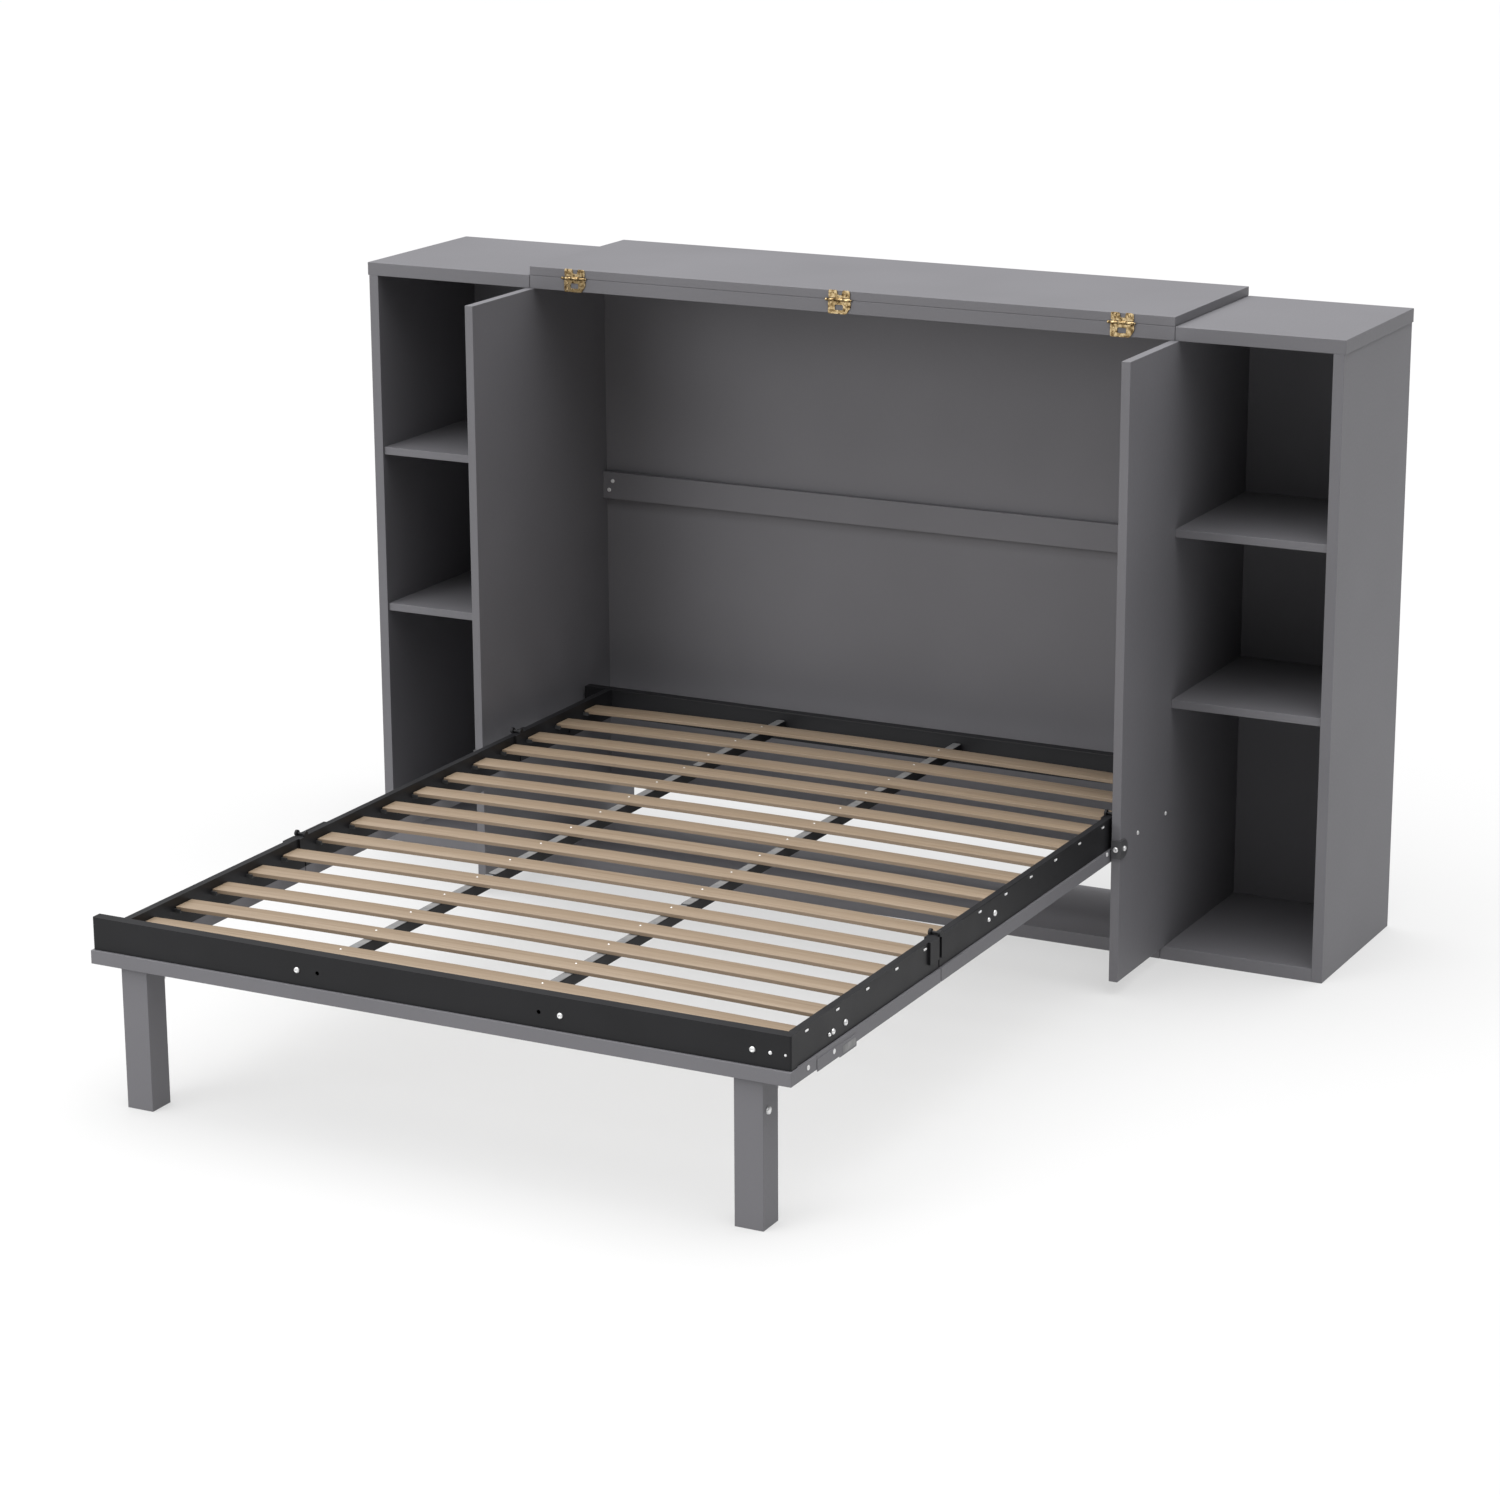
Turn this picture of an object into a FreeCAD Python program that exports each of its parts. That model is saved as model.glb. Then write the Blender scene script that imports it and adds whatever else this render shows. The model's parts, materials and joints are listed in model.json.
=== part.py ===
import FreeCAD, Part
import os
import re
import sys

import Sketcher

# Murphy wall bed: a wide low cabinet with an open shelf tower on each side and a bay in
# the middle.  A slatted steel bed base folds out of the bay in three sections, and the lid
# over the bay is hinged at the front edge of the top.
# X runs along the cabinet from the middle of the bay, Y runs from the bed's foot to the
# wall with 0 at half the cabinet's depth, and Z is up from the floor.  Millimetres.

doc = FreeCAD.newDocument("murphy_wall_bed")
sheet = doc.addObject("Spreadsheet::Sheet", "Sizes")

SIZES = {
    # cabinet
    "height": 1400,
    "depth": 440,
    "bay_inner": 1547,
    "left_tower": 425,
    "right_tower": 367,
    "top_overhang": 3,
    "bay_projection": 270,
    "bay_back_inset": 325,
    "bay_back_base": 120,
    "top_board": 30,
    "base_board": 30,
    "side_board": 24,
    "bay_board": 20,
    "shelf_board": 18,
    "back_board": 12,
    "flap_board": 20,
    "edge_round": 1,
    "seam_gap": 1,
    "upper_shelf_top": 965,
    "lower_shelf_top": 588,
    "shelf_setback": 6,
    "pin_radius": 3,
    "pin_reach": 12,
    "pin_inset": 40,
    "cross_rail_top": 888,
    "cross_rail_height": 64,
    "cross_rail_board": 18,
    "wall_hole_radius": 3.5,
    "wall_hole_drop": 60,
    "wall_hole_spacing": 240,
    # screws and bolts
    "screw_head": 5,
    "screw_dome": 2,
    "screw_shank": 2.5,
    "screw_depth": 14,
    "upper_screw_inset": 26,
    "upper_screw_drop": 21,
    "lower_screw_inset": 16,
    "lower_screw_drop": 43,
    "bolt_head": 7,
    "bolt_dome": 4,
    "bolt_shank": 4,
    "bolt_clearance": 0.2,
    # lid and its three butt hinges
    "flap_gap": 0.4,
    "hinge_spread": 665,
    "leaf_width": 56,
    "leaf_plate": 2,
    "leaf_gap": 0.2,
    "lower_leaf": 27,
    "upper_leaf": 17,
    "leaf_relief": 4,
    "knuckle_radius": 3.5,
    "knuckle_inset": 0.5,
    "knuckle_play": 0.3,
    "hinge_pin": 1.6,
    "hinge_pin_play": 0.05,
    "hinge_pin_over": 3,
    # bed base
    "rail_top": 390,
    "rail_height": 67,
    "rail_width": 25,
    "side_rail_width": 16,
    "rail_wall": 2,
    "frame_shift": 28.5,
    "head_rail_out": 766,
    "head_rail_rear": 215,
    "foot_rail_out": 768,
    "foot_rail_round": 4,
    "foot_front": 1766,
    "fold_one": 238,
    "fold_two": 1126,
    "fold_clear": 1.5,
    "strip_over": 5,
    "strip_height": 28,
    "strip_front": 6,
    "foot_board_out": 771,
    "foot_board_depth": 104,
    "left_bar_out": 240,
    "right_bar_out": 208,
    "bar_width": 20,
    "bar_height": 24,
    "bar_top": 370,
    # slats
    "slat_half": 720,
    "slat_gap": 1.5,
    "slat_width": 55,
    "slat_thick": 8,
    "slat_camber": 8,
    "slat_top": 372,
    "head_slat_first": 84,
    "head_slat_pitch": 131.5,
    "mid_slat_first": 294,
    "mid_slat_pitch": 126.5,
    "foot_slat_first": 1184,
    "foot_slat_pitch": 127,
    "holder_lip": 12,
    "holder_wall": 3,
    "holder_play": 0.6,
    # fold hinges
    "fold_rise": 4,
    "fold_pin": 3,
    "fold_pin_play": 0.08,
    "lug_plate": 5,
    "head_lug_length": 50,
    "mid_lug_length": 106,
    "inner_lug_length": 24,
    "splice_length": 50,
    "lug_drop": 46,
    "lug_ear": 7,
    "lug_clear": 2,
    # legs
    "leg_size": 60,
    "leg_gap": 1,
    "leg_front": 12,
    "leg_outer": 708,
    "leg_hinge_out": 4,
    "leg_hinge_drop": 4,
    "leg_leaf": 20,
    "lock_bolt_inset": 41,
    "lock_bolt_drop": 64,
    "lock_bolt_length": 20,
    # section studs and panel clips
    "stud_rear": 12,
    "stud_front": 172,
    "stud_base": 338,
    "stud_collar": 9,
    "clip_plate": 3,
    "clip_base": 306,
    "clip_height": 40,
    "clip_reach": 16,
    # bolts along the foot rail
    "foot_bolt_inner": 290,
    "foot_bolt_outer": 690,
    "foot_hole_offset": 46,
    "foot_bolt_base": 354,
}

for row, (alias, value) in enumerate(SIZES.items(), start=1):
    sheet.set(f"A{row}", alias)
    sheet.set(f"B{row}", str(value))
    sheet.setAlias(f"B{row}", alias)
doc.recompute()

# Places worked out from the driving sizes.
FRONT = "(-depth / 2)"
BACK = "(depth / 2)"
BAY_IN = "(bay_inner / 2)"
BAY_OUT = "(bay_inner / 2 + bay_board)"
SEAM = "(bay_inner / 2 + bay_board / 2)"
TOP_UNDER = "(height - top_board)"
RAIL_BASE = "(rail_top - rail_height)"
STRIP_BASE = "(rail_top - rail_height - strip_height)"
FOLD_Z = "(rail_top + fold_rise)"
FOLD_ONE = f"({FRONT} - fold_one)"
FOLD_TWO = f"({FRONT} - fold_two)"
FOOT_FACE = f"({FRONT} - foot_front)"
HEAD_REAR = f"({FRONT} + head_rail_rear)"
BAY_BACK = f"({FRONT} + bay_back_inset)"
PANEL_EDGE = f"({FRONT} - bay_projection)"
LEG_REAR = f"({FOOT_FACE} - strip_front + leg_front + leg_size)"
SIDES = (("left", -1), ("right", 1))
nodes = []


def bound(text):
    """Write each alias in an expression as a reference to the sheet."""
    return re.sub(r"[a-z]+(?:_[a-z]+)*", lambda m: "Sizes." + m.group(0), text)


def span(side, inner, outer):
    """The lower and upper X of a piece that lies between two distances from the middle."""
    if side > 0:
        return inner, outer
    return f"-({outer})", f"-({inner})"


def place(item, x, y, z):
    for axis, text in zip("xyz", (x, y, z)):
        item.setExpression(f"Placement.Base.{axis}", bound(text))


def box(name, xs, ys, zs):
    """A Part::Box between two places along each axis."""
    item = doc.addObject("Part::Box", name)
    for size, (low, high) in zip(("Length", "Width", "Height"), (xs, ys, zs)):
        item.setExpression(size, bound(f"({high}) - ({low})"))
    place(item, xs[0], ys[0], zs[0])
    return item


def rod(name, axis, radius, start, length):
    """A Part::Cylinder along X or Y from a starting point."""
    item = doc.addObject("Part::Cylinder", name)
    item.setExpression("Radius", bound(radius))
    item.setExpression("Height", bound(length))
    turn = {
        "x": FreeCAD.Rotation(FreeCAD.Vector(0, 1, 0), 90),
        "y": FreeCAD.Rotation(FreeCAD.Vector(1, 0, 0), -90),
    }[axis]
    item.Placement = FreeCAD.Placement(FreeCAD.Vector(), turn)
    place(item, *start)
    return item


def cut(name, base, tool):
    item = doc.addObject("Part::Cut", name)
    item.Base = base
    item.Tool = tool
    return item


def fuse(name, items):
    item = doc.addObject("Part::MultiFuse", name)
    item.Shapes = items
    return item


def group(name, items):
    item = doc.addObject("Part::Compound", name)
    item.Links = items
    return item


def node(label, item):
    """Register a finished sub-part under the name of its file."""
    item.Label = label
    nodes.append(item)
    return item


def board(label, xs, ys, zs, holes=None):
    """A flat board with its edges eased, and drilled where holes are given."""
    core = box(label + "_core", xs, ys, zs)
    doc.recompute()
    eased = doc.addObject("Part::Fillet", label + "_eased")
    eased.Base = core
    radius = SIZES["edge_round"]
    eased.Edges = [(edge + 1, radius, radius) for edge in range(len(core.Shape.Edges))]
    if not holes:
        return node(label, eased)
    return node(label, cut(label + "_drilled", eased, group(label + "_holes", holes)))


def tube(name, xs, ys, zs, along):
    """A square steel tube that is open at both ends of its long axis."""
    outer = box(name + "_outer", xs, ys, zs)
    inner = []
    for axis, (low, high) in zip("xyz", (xs, ys, zs)):
        if axis == along:
            inner.append((low, high))
        else:
            inner.append((f"{low} + rail_wall", f"{high} - rail_wall"))
    return cut(name, outer, box(name + "_bore", *inner))


# ---------------------------------------------------------------- cabinet

def tower_bounds(side):
    """Distances from the middle to a tower top's end and to the outer panel's inner face."""
    name = "left_tower" if side < 0 else "right_tower"
    outer = f"({BAY_OUT} + {name})"
    return outer, f"({outer} - top_overhang - side_board)"


def wall_holes(word, side):
    """Two holes for wall screws through the upper part of a tower's back panel."""
    outer, inner = tower_bounds(side)
    middle = f"({side} * ({inner} + {BAY_OUT}) / 2)"
    height = f"{TOP_UNDER} - wall_hole_drop"
    return [
        rod(f"{word}_wall_hole_{index}", "y", "wall_hole_radius",
            (f"{middle} + {offset} * wall_hole_spacing / 2", f"{BACK} - 2 * back_board", height),
            "3 * back_board")
        for index, offset in enumerate((-1, 1))
    ]


def shelf_pins(word, side, top, label):
    """Four short pins that carry one shelf."""
    outer, inner = tower_bounds(side)
    height = f"{top} - shelf_board - pin_radius"
    walls = (("outer", f"{inner} - pin_reach", inner), ("inner", BAY_OUT, f"{BAY_OUT} + pin_reach"))
    rows = (("front", f"{FRONT} + shelf_setback + pin_inset"),
            ("rear", f"{BACK} - back_board - pin_inset"))
    pins = []
    for wall, near, far in walls:
        start = span(side, near, far)[0]
        for row, y in rows:
            pins.append(rod(f"{word}_{label}_{wall}_{row}_pin", "x", "pin_radius",
                            (start, y, height), "pin_reach"))
    return pins


def build_towers():
    pins = []
    for word, side in SIDES:
        outer, inner = tower_bounds(side)
        inside = span(side, BAY_OUT, inner)
        whole_depth = (FRONT, BACK)
        board(f"{word}_outer_panel", span(side, inner, f"{outer} - top_overhang"), whole_depth,
              ("0", TOP_UNDER))
        board(f"{word}_tower_top", span(side, f"{SEAM} + seam_gap", outer), whole_depth,
              (TOP_UNDER, "height"))
        board(f"{word}_tower_bottom", span(side, f"{SEAM} + seam_gap", inner), whole_depth,
              ("0", "base_board"))
        board(f"{word}_tower_back", inside, (f"{BACK} - back_board", BACK),
              ("base_board", TOP_UNDER), wall_holes(word, side))
        for level in ("upper", "lower"):
            top = f"{level}_shelf_top"
            board(f"{word}_{level}_shelf", inside,
                  (f"{FRONT} + shelf_setback", f"{BACK} - back_board"), (f"{top} - shelf_board", top))
            pins += shelf_pins(word, side, top, level)
    node("shelf_pins", group("shelf_pin_group", pins))


def stud_holes(word, side):
    """Holes through a bay panel for the studs that carry the bed's head section."""
    low, high = span(side, f"{BAY_IN} - bay_board", f"{BAY_OUT} + bay_board")
    return [
        rod(f"{word}_panel_hole_{index}", "x", "bolt_shank + bolt_clearance",
            (low, f"{FRONT} - {inset}", "stud_base"), f"({high}) - ({low})")
        for index, inset in enumerate(("stud_rear", "stud_front"))
    ]


def build_bay():
    inside = (f"-{BAY_IN}", BAY_IN)
    for word, side in SIDES:
        board(f"{word}_bay_panel", span(side, BAY_IN, BAY_OUT), (PANEL_EDGE, BACK),
              ("base_board", TOP_UNDER), stud_holes(word, side))
    board("centre_top", (f"-{SEAM}", SEAM), (FRONT, BACK), (TOP_UNDER, "height"))
    board("bay_bottom", (f"-{SEAM}", SEAM), (FRONT, BAY_BACK), ("0", "base_board"))
    board("bay_back_panel", inside, (BAY_BACK, f"{BAY_BACK} + back_board"),
          ("bay_back_base", TOP_UNDER))
    build_cross_rail(inside)


def build_cross_rail(inside):
    """The rail across the bay's back panel, with two screws at each end."""
    face = f"({BAY_BACK} - cross_rail_board)"
    holes = []
    screws = []
    for word, side in SIDES:
        for level in ("upper", "lower"):
            x = f"{side} * ({BAY_IN} - {level}_screw_inset)"
            z = f"cross_rail_top - {level}_screw_drop"
            name = f"{word}_{level}_rail_screw"
            holes.append(rod(name + "_hole", "y", "screw_shank + bolt_clearance",
                             (x, f"{face} - screw_dome", z), "screw_depth + 2 * screw_dome"))
            head = rod(name + "_head", "y", "screw_head", (x, f"{face} - screw_dome", z), "screw_dome")
            shank = rod(name + "_shank", "y", "screw_shank", (x, face, z), "screw_depth")
            screws.append(fuse(name, [head, shank]))
    board("bay_cross_rail", inside, (face, BAY_BACK),
          ("cross_rail_top - cross_rail_height", "cross_rail_top"), holes)
    node("cross_rail_screws", group("cross_rail_screw_group", screws))


# ---------------------------------------------------------------- lid and hinges

HINGE_Y = f"({FRONT} - knuckle_radius - leaf_gap - knuckle_inset)"
HINGE_Z = "(height + flap_gap / 2)"


def leaf(name, middle, low, high, knuckles):
    """One hinge leaf: a plate on a board's front edge, with its knuckles fused on."""
    plate = box(name + "_plate", (f"{middle} - leaf_width / 2", f"{middle} + leaf_width / 2"),
                (f"{FRONT} - leaf_gap - leaf_plate", f"{FRONT} - leaf_gap"), (low, high))
    solids = [plate]
    third = "leaf_width / 3"
    web_low, web_high = (high, HINGE_Z) if knuckles == (0, 2) else (HINGE_Z, low)
    for index in knuckles:
        start = f"{middle} - leaf_width / 2 + {index} * {third} + knuckle_play"
        length = f"{third} - 2 * knuckle_play"
        solids.append(rod(f"{name}_knuckle_{index}", "x", "knuckle_radius",
                          (start, HINGE_Y, HINGE_Z), length))
        solids.append(box(f"{name}_web_{index}", (start, f"{start} + {length}"),
                          (f"{FRONT} - leaf_gap - leaf_plate", f"{FRONT} - leaf_gap"),
                          (web_low, web_high)))
    blank = fuse(name + "_blank", solids)
    bore = rod(name + "_bore", "x", "hinge_pin + hinge_pin_play",
               (f"{middle} - leaf_width", HINGE_Y, HINGE_Z), "2 * leaf_width")
    return cut(name, blank, bore)


def build_lid():
    """The lid lies folded back on the centre top, and turns about the three hinges."""
    low = "(height + flap_gap)"
    board("top_flap", (f"-{SEAM}", SEAM), (FRONT, BACK), (low, f"{low} + flap_board"))
    fixed = []
    moving = []
    pins = []
    for index in (-1, 0, 1):
        middle = f"({index} * hinge_spread)"
        name = f"hinge_{index + 1}"
        fixed.append(leaf(name + "_fixed", middle, "height - leaf_relief - lower_leaf",
                          "height - leaf_relief", (0, 2)))
        moving.append(leaf(name + "_moving", middle, f"{low} + leaf_relief",
                           f"{low} + leaf_relief + upper_leaf", (1,)))
        pins.append(rod(name + "_pin", "x", "hinge_pin",
                        (f"{middle} - leaf_width / 2 - hinge_pin_over", HINGE_Y, HINGE_Z),
                        "leaf_width + 2 * hinge_pin_over"))
    node("top_hinge_fixed_leaves", group("fixed_leaf_group", fixed))
    node("top_hinge_moving_leaves", group("moving_leaf_group", moving))
    node("top_hinge_pins", group("hinge_pin_group", pins))


# ---------------------------------------------------------------- bed base

RAIL_Z = (RAIL_BASE, "rail_top")
STRIP_Z = (STRIP_BASE, RAIL_BASE)


def rail_faces(side):
    """Distances from the bay's middle to the inner and outer faces of a side rail."""
    inner = f"(slat_half + slat_gap + {side} * frame_shift)"
    return inner, f"({inner} + side_rail_width)"


def side_rails(section, ys, drilled=False):
    """The left and right tubes of one section."""
    for word, side in SIDES:
        inner, outer = rail_faces(side)
        rail = tube(f"{section}_{word}_tube", span(side, inner, outer), ys, RAIL_Z, "y")
        if drilled:
            low, high = span(side, f"{inner} - rail_width", f"{outer} + rail_width")
            holes = [
                rod(f"{section}_{word}_hole_{index}", "x", "bolt_shank + bolt_clearance",
                    (low, f"{FRONT} - {inset}", "stud_base"), f"({high}) - ({low})")
                for index, inset in enumerate(("stud_rear", "stud_front"))
            ]
            rail = cut(rail.Name + "_drilled", rail, group(rail.Name + "_holes", holes))
        node(f"{section}_{word}_rail", rail)


def centre_bars(section, ys):
    """Two lengthwise bars that carry the middle of the slats."""
    bars = [
        box(f"{section}_{word}_bar", (f"{side} * {word}_bar_out - bar_width / 2",
                                      f"{side} * {word}_bar_out + bar_width / 2"),
            ys, ("bar_top - bar_height", "bar_top"))
        for word, side in SIDES
    ]
    node(f"{section}_centre_bars", group(f"{section}_bar_group", bars))


def slat_sketch(body):
    """A slat seen from its edge: two arcs of one centre and two square ends."""
    sketch = body.newObject("Sketcher::SketchObject", body.Name + "_profile")
    plane = next(f for f in body.Origin.OriginFeatures if f.Role == "XZ_Plane")
    sketch.AttachmentSupport = [(plane, "")]
    sketch.MapMode = "FlatFace"
    half = SIZES["slat_half"]
    rise = SIZES["slat_camber"]
    thick = SIZES["slat_thick"]
    top = [FreeCAD.Vector(x, y, 0) for x, y in ((half, 0), (0, rise), (-half, 0))]
    under = [point - FreeCAD.Vector(0, thick, 0) for point in top]
    sketch.addGeometry(Part.Arc(*top), False)
    sketch.addGeometry(Part.Arc(*under), False)
    sketch.addGeometry(Part.LineSegment(top[2], under[2]), False)
    sketch.addGeometry(Part.LineSegment(under[0], top[0]), False)
    for first, second in (((0, 2), (2, 1)), ((2, 2), (1, 2)), ((1, 1), (3, 1)), ((3, 2), (0, 1))):
        sketch.addConstraint(Sketcher.Constraint("Coincident", *first, *second))
    sketch.addConstraint(Sketcher.Constraint("Vertical", 2))
    sketch.addConstraint(Sketcher.Constraint("Vertical", 3))
    sketch.addConstraint(Sketcher.Constraint("Symmetric", 0, 1, 0, 2, -2))
    sketch.addConstraint(Sketcher.Constraint("PointOnObject", 0, 1, -1))
    sketch.addConstraint(Sketcher.Constraint("DistanceX", 0, 2, 0, 1, 2 * half))
    sketch.renameConstraint(sketch.ConstraintCount - 1, "length")
    sketch.addConstraint(Sketcher.Constraint("DistanceY", 3, 1, 3, 2, thick))
    sketch.renameConstraint(sketch.ConstraintCount - 1, "thick")
    radius = half * half / (2 * rise) + rise / 2
    for arc, label in ((0, "top_radius"), (1, "under_radius")):
        sketch.addConstraint(Sketcher.Constraint("Radius", arc, radius))
        sketch.renameConstraint(sketch.ConstraintCount - 1, label)
        sketch.setExpression(f"Constraints.{label}",
                             bound("slat_half * slat_half / (2 * slat_camber) + slat_camber / 2"))
    sketch.setExpression("Constraints.length", bound("2 * slat_half"))
    sketch.setExpression("Constraints.thick", bound("slat_thick"))
    return sketch


def slats(section, count):
    """A section's bowed slats, repeated towards the foot."""
    label = f"{section}_slats"
    body = doc.addObject("PartDesign::Body", label)
    body.AllowCompound = True
    sketch = slat_sketch(body)
    pad = body.newObject("PartDesign::Pad", label + "_pad")
    pad.Profile = sketch
    pad.Midplane = True
    pad.setExpression("Length", bound("slat_width"))
    doc.recompute()
    pattern = body.newObject("PartDesign::LinearPattern", label + "_row")
    pattern.Originals = [pad]
    pattern.Direction = (next(f for f in body.Origin.OriginFeatures if f.Role == "Y_Axis"), [""])
    pattern.Reversed = True
    pattern.Occurrences = count
    pattern.setExpression("Length", bound(f"{count - 1} * {section}_slat_pitch"))
    body.Tip = pattern
    sign = "+" if section == "head" else "-"
    place(body, "frame_shift", f"{FRONT} {sign} {section}_slat_first", "slat_top")
    node(label, body)


def slat_holders(section, count):
    """A plastic saddle on the rail's inner face for each end of each slat."""
    sign = "+" if section == "head" else "-"
    saddles = []
    for row in range(count):
        middle = f"({FRONT} {sign} {section}_slat_first - {row} * {section}_slat_pitch)"
        inner = (f"{middle} - slat_width / 2 - holder_play", f"{middle} + slat_width / 2 + holder_play")
        outer = (f"{inner[0]} - holder_wall", f"{inner[1]} + holder_wall")
        low = "slat_top - slat_thick - holder_play"
        for word, side in SIDES:
            name = f"{section}_holder_{row}_{word}"
            end = f"(slat_half + {side} * frame_shift)"
            shell = box(name + "_shell", span(side, f"{end} - holder_lip", rail_faces(side)[0]), outer,
                        (f"{low} - holder_wall", "slat_top - slat_thick / 2"))
            pocket = box(name + "_pocket", span(side, f"{end} - 2 * holder_lip",
                                                f"{end} + holder_play"), inner, (low, "slat_top"))
            saddles.append(cut(name, shell, pocket))
    node(f"{section}_slat_holders", group(f"{section}_holder_group", saddles))


def lug(name, xs, fold, length, towards_foot):
    """A hinge plate on a rail, with an ear that rises round the fold's pin."""
    if towards_foot:
        near = f"{fold} - lug_clear"
        ys = (f"{fold} - {length}", near)
        neck = (f"{fold} - lug_ear", near)
    else:
        near = f"{fold} + lug_clear"
        ys = (near, f"{fold} + {length}")
        neck = (near, f"{fold} + lug_ear")
    plate = box(name + "_plate", xs, ys, ("rail_top - lug_drop", "rail_top"))
    post = box(name + "_post", xs, neck, ("rail_top - lug_drop", FOLD_Z))
    ear = rod(name + "_ear", "x", "lug_ear", (xs[0], fold, FOLD_Z), "lug_plate")
    blank = fuse(name + "_blank", [plate, post, ear])
    bore = rod(name + "_bore", "x", "fold_pin + fold_pin_play",
               (f"{xs[0]} - lug_plate", fold, FOLD_Z), "3 * lug_plate")
    return cut(name, blank, bore)


def outer_face(side):
    """The band of X taken by a plate on the outer face of a side rail."""
    outer = rail_faces(side)[1]
    return span(side, outer, f"{outer} + lug_plate")


def outer_lugs(section, fold):
    """Lugs on the outer faces of the rails that end at a fold."""
    return [
        lug(f"{section}_{word}_outer_lug", outer_face(side), fold, f"{section}_lug_length", False)
        for word, side in SIDES
    ]


def inner_lugs(section, fold):
    """Lugs on the inner faces of the rails that start at a fold."""
    lugs = []
    for word, side in SIDES:
        inner = rail_faces(side)[0]
        xs = span(side, f"{inner} - lug_plate", inner)
        lugs.append(lug(f"{section}_{word}_inner_lug", xs, fold, "inner_lug_length", True))
    return lugs


def splice_plates(fold):
    """Plates on the outer faces of the foot section's rails, beside the middle section's lugs."""
    return [
        box(f"foot_{word}_splice", outer_face(side),
            (f"{fold} - splice_length", f"{fold} - lug_ear - lug_clear"),
            ("rail_top - lug_drop", "rail_top"))
        for word, side in SIDES
    ]


def fold_pins(section, fold):
    """The two pins of one fold, across the tops of the rails."""
    pins = []
    for word, side in SIDES:
        inner, outer = rail_faces(side)
        low, high = span(side, f"{inner} - lug_plate", f"{outer} + lug_plate")
        pins.append(rod(f"{section}_{word}_fold_pin", "x", "fold_pin", (low, fold, FOLD_Z),
                        f"({high}) - ({low})"))
    node(f"{section}_fold_pins", group(f"{section}_fold_pin_group", pins))


def build_head_section():
    """The section inside the bay, held by studs through the bay panels."""
    ends = (f"{FOLD_ONE} + fold_clear", f"{HEAD_REAR} - rail_width")
    side_rails("head", ends, drilled=True)
    node("head_end_rail", tube("head_end_tube", ("-head_rail_out", "head_rail_out"),
                               (ends[1], HEAD_REAR), RAIL_Z, "x"))
    centre_bars("head", ends)
    slats("head", 3)
    slat_holders("head", 3)
    node("head_hinge_lugs", group("head_lug_group", outer_lugs("head", FOLD_ONE)))
    fold_pins("head", FOLD_ONE)
    build_studs()


def build_studs():
    """Collared studs that join the head section to the bay panels."""
    studs = []
    for word, side in SIDES:
        face = rail_faces(side)[1]
        for index, inset in enumerate(("stud_rear", "stud_front")):
            name = f"{word}_stud_{index}"
            y = f"{FRONT} - {inset}"
            parts = []
            for label, radius, inner, outer in (
                    ("shank", "bolt_shank", f"{face} - rail_wall", BAY_OUT),
                    ("collar", "stud_collar", face, BAY_IN),
                    ("nut", "bolt_head", BAY_OUT, f"{BAY_OUT} + bolt_dome")):
                low, high = span(side, inner, outer)
                parts.append(rod(f"{name}_{label}", "x", radius, (low, y, "stud_base"),
                                 f"({high}) - ({low})"))
            studs.append(fuse(name, parts))
    node("head_section_studs", group("stud_group", studs))


def build_panel_clips():
    """An angle round each bay panel's front edge, rounded at its rear, with two bolts."""
    clips = []
    bolts = []
    half = "clip_height / 2"
    middle = f"(clip_base + {half})"
    for word, side in SIDES:
        name = f"{word}_clip"
        flange = span(side, BAY_OUT, f"{BAY_OUT} + clip_plate")
        edge = box(name + "_edge", span(side, f"{BAY_IN} + edge_round", f"{BAY_OUT} + clip_plate"),
                   (f"{PANEL_EDGE} - clip_plate", PANEL_EDGE), ("clip_base", "clip_base + clip_height"))
        wing = box(name + "_wing", flange, (f"{PANEL_EDGE}", f"{PANEL_EDGE} + clip_reach"),
                   ("clip_base", "clip_base + clip_height"))
        nose = rod(name + "_nose", "x", half, (flange[0], f"{PANEL_EDGE} + clip_reach", middle),
                   "clip_plate")
        clips.append(fuse(name, [edge, wing, nose]))
        low, high = span(side, f"{BAY_OUT} + clip_plate", f"{BAY_OUT} + clip_plate + bolt_dome")
        bolts.append(rod(name + "_side_bolt", "x", "bolt_head",
                         (low, f"{PANEL_EDGE} + clip_reach", middle), "bolt_dome"))
        bolts.append(rod(name + "_front_bolt", "y", "bolt_head",
                         (f"{side} * ({BAY_IN} + bay_board / 2 + edge_round)",
                          f"{PANEL_EDGE} - clip_plate - bolt_dome", middle), "bolt_dome"))
    node("panel_clips", group("clip_group", clips))
    node("panel_clip_bolts", group("clip_bolt_group", bolts))


def side_strips(section, ys):
    """Board strips under the side rails of one section."""
    for word, side in SIDES:
        inner, outer = rail_faces(side)
        board(f"{section}_{word}_strip", span(side, inner, f"{outer} + strip_over"), ys, STRIP_Z)


def build_mid_section():
    """The section that turns up in front of the head section."""
    ends = (f"{FOLD_TWO} + fold_clear", f"{FOLD_ONE} - fold_clear")
    side_rails("mid", ends)
    centre_bars("mid", ends)
    side_strips("mid", ends)
    slats("mid", 7)
    slat_holders("mid", 7)
    node("mid_hinge_lugs", group("mid_lug_group", inner_lugs("mid", FOLD_ONE)
                                 + outer_lugs("mid", FOLD_TWO)))
    fold_pins("mid", FOLD_TWO)


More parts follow.
